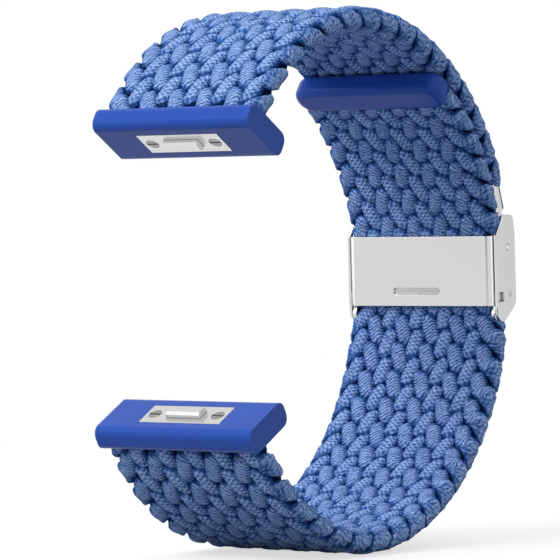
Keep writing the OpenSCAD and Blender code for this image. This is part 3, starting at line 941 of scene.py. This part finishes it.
@dataclass
class Studio:
    """Camera, floor, world and lamps of a plain product picture."""

    target: Vector
    floor: float
    azimuth: float = 34.0
    distance: float = 420.0 * MM
    focal_pixels: float = 3465.0
    picture: float = 560.0
    principal: tuple[float, float] = (301.6, 279.2)
    sensor: float = 36.0
    light_above: float = 0.70
    light_below: float = 0.02
    rise_from: float = -0.6
    rise_to: float = 0.7
    floor_size: float = 6.0
    floor_shade: float = 0.35
    floor_glow: float = 0.66
    shadow_reach: tuple[float, float] = (110.0 * MM, 260.0 * MM)
    card_azimuths: tuple[float, ...] = (0.0, 10.0, 163.0, 176.0, 194.0)
    card_distance: float = 480.0 * MM
    card_width: float = 150.0 * MM
    card_height: float = 500.0 * MM
    card_shade: float = 0.02

    def build(self) -> None:
        """Set up everything that isn't part of the strap."""
        self.camera()
        self.world()
        self.ground()
        for azimuth in self.card_azimuths:
            self.dark_card(azimuth)
        self.lamps()

    def seat(self, thing: bpy.types.Object, azimuth: float, distance: float) -> None:
        """Stand a camera or card upright beside the target, square to it.

        Args:
            thing: The object to place.
            azimuth: Its direction from the target, in degrees from -Y towards +X.
            distance: Its distance from the target.
        """
        angle = math.radians(azimuth)
        thing.location = self.target + distance * Vector((math.sin(angle), -math.cos(angle), 0.0))
        thing.rotation_euler = (math.radians(90), 0.0, angle)

    def camera(self) -> None:
        """Place the camera at the photograph's angle."""
        data = bpy.data.cameras.new("camera")
        data.sensor_width = self.sensor
        data.lens = self.focal_pixels / self.picture * data.sensor_width
        data.shift_x = 0.5 - self.principal[0] / self.picture
        data.shift_y = self.principal[1] / self.picture - 0.5
        data.clip_start = 0.01
        data.clip_end = 50.0
        camera = bpy.data.objects.new("camera", data)
        bpy.context.scene.collection.objects.link(camera)
        self.seat(camera, self.azimuth, self.distance)
        bpy.context.scene.camera = camera

    def world(self) -> None:
        """Light the scene from a pale studio that is brighter overhead."""
        world = bpy.data.worlds.new("studio")
        bpy.context.scene.world = world
        world.use_nodes = True
        nodes = NodeTree(world.node_tree)
        background = world.node_tree.nodes["Background"]
        output = world.node_tree.nodes["World Output"]
        white = nodes.white("ShaderNodeBackground")
        mixed = nodes.mix_shaders(nodes.seen_directly(), background.outputs[0], white)
        nodes.link(mixed, output.inputs["Surface"])
        coords = nodes.add("ShaderNodeTexCoord")
        split = nodes.add("ShaderNodeSeparateXYZ")
        nodes.link(coords.outputs["Generated"], split.inputs[0])
        rise = nodes.add("ShaderNodeMapRange", in_1=self.rise_from, in_2=self.rise_to,
                         in_3=self.light_below, in_4=self.light_above)
        nodes.link(split.outputs["Z"], rise.inputs["Value"])
        nodes.link(rise.outputs["Result"], background.inputs["Strength"])
        background.inputs["Color"].default_value = (1.0, 1.0, 1.0, 1.0)

    def ground(self) -> None:
        """Lay the pale floor that keeps the strap's shadow."""
        deselect_all()
        bpy.ops.mesh.primitive_plane_add(size=self.floor_size, location=(0, 0, self.floor))
        floor = bpy.context.object
        floor.name = "floor"
        bpy.ops.object.transform_apply(location=True)
        material, nodes, shader = new_material("pale_floor")
        shader.inputs["Base Color"].default_value = (*[self.floor_shade] * 3, 1.0)
        shader.inputs["Roughness"].default_value = 0.9
        # Near the strap the glow only lifts the lit floor to white, so that the shadow stays
        near = nodes.add("ShaderNodeAddShader")
        nodes.link(shader.outputs[0], near.inputs[0])
        nodes.link(nodes.white("ShaderNodeEmission", self.floor_glow), near.inputs[1])
        place = nodes.add("ShaderNodeNewGeometry").outputs["Position"]
        reach = nodes.add("ShaderNodeVectorMath", operation="DISTANCE", in_1=self.target)
        nodes.link(place, reach.inputs[0])
        away = nodes.share(reach.outputs["Value"], *self.shadow_reach, "SMOOTHSTEP")
        look = nodes.mix_shaders(away, near.outputs[0], nodes.white("ShaderNodeEmission"))
        mixed = nodes.mix_shaders(nodes.seen_directly(), shader.outputs[0], look)
        nodes.link(mixed, material.node_tree.nodes["Material Output"].inputs["Surface"])
        dress(floor, material)
        floor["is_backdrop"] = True

    def dark_card(self, azimuth: float) -> None:
        """Stand a black card beside the scene, which draws the bends of bright metal.

        Args:
            azimuth: The card's direction from the target, in degrees from -Y towards +X.
        """
        deselect_all()
        bpy.ops.mesh.primitive_plane_add(size=1.0)
        card = bpy.context.object
        card.name = "dark_card"
        bpy.ops.transform.resize(value=(self.card_width, self.card_height, 1.0))
        bpy.ops.object.transform_apply(scale=True)
        self.seat(card, azimuth, self.card_distance)
        bpy.ops.object.transform_apply(location=True, rotation=True)
        material, _, shader = new_material("black_card")
        shader.inputs["Base Color"].default_value = (*[self.card_shade] * 3, 1.0)
        shader.inputs["Roughness"].default_value = 0.9
        shader.inputs["Specular IOR Level"].default_value = 0.0
        dress(card, material)
        card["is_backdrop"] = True

    def lamps(self) -> None:
        """Hang a soft lamp above the front, a weaker one at the left and a strip at the right."""
        self.lamp("front_above", (-0.15, -0.50, 0.42), (0.4, 0.4), 3.1)
        self.lamp("left", (-0.60, -0.25, 0.15), (0.5, 0.5), 1.1)
        self.lamp("right_strip", (0.60, -0.10, 0.05), (0.10, 0.6), 0.25)

    def lamp(
        self, name: str, offset: tuple[float, float, float], size: tuple[float, float], power: float
    ) -> None:
        """Add one area lamp that faces the strap.

        Args:
            name: The lamp's name.
            offset: Its place from the camera's target.
            size: Its width and height.
            power: Its power in watts.
        """
        data = bpy.data.lights.new(name, "AREA")
        data.shape = "RECTANGLE"
        data.size, data.size_y = size
        data.energy = power
        lamp = bpy.data.objects.new(name, data)
        bpy.context.scene.collection.objects.link(lamp)
        lamp.location = self.target + Vector(offset)
        lamp.rotation_euler = (-Vector(offset)).to_track_quat("-Z", "Y").to_euler()


@dataclass
class WatchStrap:
    """The whole strap, dressed over its frame."""

    frame: dict
    loop_radius: float = 29.9 * MM
    layer_pitch: float = 2.75 * MM
    aim_back: float = 0.5 * MM
    aim_up: float = 1.5 * MM
    floor_gap: float = 0.3 * MM
    long_front_radius: float = 28.4 * MM
    short_front_radius: float = 28.6 * MM
    long_break: float = -78.0
    long_end: float = -146.4
    short_break: float = 93.0
    short_end: float = 145.6
    cap_inside: float = 54.6
    ferrule_end: float = 24.9
    long_widths: tuple[tuple[float, float], ...] = (
        (56, 20.8 * MM), (52, 22.0 * MM), (40, 22.3 * MM), (24, 22.0 * MM), (14, 21.7 * MM),
        (12.3, 20.4 * MM), (-3.6, 20.4 * MM), (-7, 22.2 * MM), (-11, 22.9 * MM), (-20, 23.1 * MM),
        (-70, 22.9 * MM), (-120, 22.8 * MM), (-144.5, 22.2 * MM), (-146.4, 20.4 * MM),
    )
    long_steps: tuple[int, int] = (36, 16)
    short_widths: tuple[tuple[float, float], ...] = (
        (24.9, 20.4 * MM), (27, 21.6 * MM), (60, 21.8 * MM), (93, 22.2 * MM), (143.5, 22.2 * MM),
        (145.6, 20.4 * MM),
    )
    short_steps: tuple[int, int] = (19, 12)

    @property
    def loop_centre(self) -> np.ndarray:
        """Centre of the loop, the axis that the clasp slides about."""
        joint = next(j for j in self.frame["joints"] if j["name"] == "strap_adjust")
        return np.array(joint["pos_m"][1:])

    @property
    def aim(self) -> Vector:
        """The place that the camera looks at, near the loop's centre."""
        back, up = self.loop_centre
        return Vector((0.0, back + self.aim_back, up + self.aim_up))

    def long_route(self) -> Route:
        """The long strap's middle line, from inside the end cap to the lower lug."""
        back = Arc(self.loop_centre, self.loop_radius, self.cap_inside, self.long_break)
        return Route((back, back.join(self.long_front_radius, self.long_end)))

    def short_route(self) -> Route:
        """The short strap's middle line, from the ferrule to the upper lug."""
        radius = self.loop_radius + self.layer_pitch
        back = Arc(self.loop_centre, radius, self.ferrule_end, self.short_break)
        return Route((back, back.join(self.short_front_radius, self.short_end)))

    def build(self) -> None:
        """Build and dress every piece."""
        grain = surface_grain_group()
        yarn = YarnFinish()
        braids = (
            Braid("long_braid_woven", self.long_route(), Body.LONG_STRAP, "long_braid",
                  self.long_widths, self.long_steps),
            Braid("short_braid_woven", self.short_route(), Body.SHORT_STRAP, "short_braid",
                  self.short_widths, self.short_steps, ribbed_from=180.0),
        )
        for braid in braids:
            finish = yarn.material(grain, braid.name + "_yarn", braid.strand_length)
            piece = braid.build(finish)
            LOG.info("%s: %d faces, %d steps", piece.name, len(piece.data.polygons), braid.steps)
        steel = SteelFinish().material(grain)
        plastic = PlasticFinish().material(grain)
        spring = SteelFinish("spring_steel", (0.6, 0.6, 0.61), (0.5, 0.5, 0.51), 0.35).material(grain)
        screw = SteelFinish("dark_steel", (0.36, 0.36, 0.38), (0.28, 0.28, 0.3), 0.33).material(grain)
        softened = [
            SoftenedNode("clasp_frame", Body.CLASP, 0.10 * MM),
            SoftenedNode("cover_lever", Body.LEVER, 0.07 * MM),
            SoftenedNode("ferrule", Body.SHORT_STRAP, 0.08 * MM),
        ]
        for part in softened:
            LOG.info("%s", part.build(self.frame, steel).name)
        finishes = {
            Slot.STEEL.value: steel, Slot.PLASTIC.value: plastic,
            Slot.SPRING.value: spring, Slot.SCREW.value: screw,
        }
        slots = {entry["node"]: entry["material_slot"] for entry in self.frame["record"]["subparts"]}
        for name, node in self.frame["nodes"].items():
            if slots[name] in finishes:
                dress(node, finishes[slots[name]])


def main() -> None:
    """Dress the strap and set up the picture."""
    logging.basicConfig(level=logging.INFO, format="%(name)s: %(message)s")
    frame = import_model()
    cad_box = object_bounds()
    bpy.context.scene.view_settings.view_transform = "Standard"
    strap = WatchStrap(frame)
    strap.build()
    Studio(strap.aim, cad_box[0][2] - strap.floor_gap).build()


if __name__ == "__main__":
    main()
